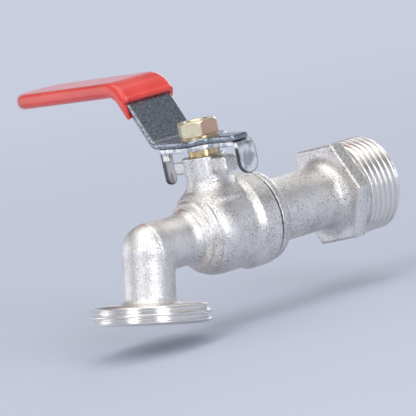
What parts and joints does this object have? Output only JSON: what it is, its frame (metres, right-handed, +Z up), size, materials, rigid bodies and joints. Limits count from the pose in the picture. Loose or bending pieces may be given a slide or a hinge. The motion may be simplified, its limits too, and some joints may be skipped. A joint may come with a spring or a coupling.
{
  "type": "lockable ball bibcock",
  "caption": "Ball bibcock with hex inlet adapter, downturned spout with a threaded outlet disc, and a bent steel lever with a dipped grip that turns the ball a quarter turn.",
  "frame": {"origin": "centre of the inlet end face", "axes": "+X out of the inlet along its axis, +Z up the stem, +Y the way the closed lever points"},
  "size_m": [0.0999, 0.094, 0.0664],
  "materials": {
    "nickel_brass": "shot-blasted forging with nickel plating, threads bright",
    "bare_brass": "turned brass",
    "nut_brass": "pale satin brass",
    "chromed_ball": "polished",
    "zinc_steel": "blue zinc plating, dull and mottled",
    "plated_steel": "bright nickel plating on stamped sheet",
    "red_vinyl": "glossy dipped vinyl",
    "seat_plastic": "waxy white",
    "seal_rubber": "matt black"
  },
  "bodies": {
    "housing": {"body": "nickel_brass", "end_adapter": "nickel_brass", "adapter_seal": "seal_rubber", "outlet_seat": "seat_plastic", "inlet_seat": "seat_plastic"},
    "lever_set": {"ball": "chromed_ball", "stem": "bare_brass", "thrust_washer": "seat_plastic", "lower_stem_seal": "seal_rubber", "upper_stem_seal": "seal_rubber", "lock_plate": "plated_steel", "lever": "zinc_steel", "lever_grip": "red_vinyl", "nut_washer": "bare_brass", "handle_nut": "nut_brass"}
  },
  "joints": [
    {"name": "lever_turn", "type": "hinge", "parent": "housing", "child": "lever_set", "pos_m": [-0.055, 0, 0], "axis": [0, 0, 1], "range_deg": [0, 90]}
  ]
}
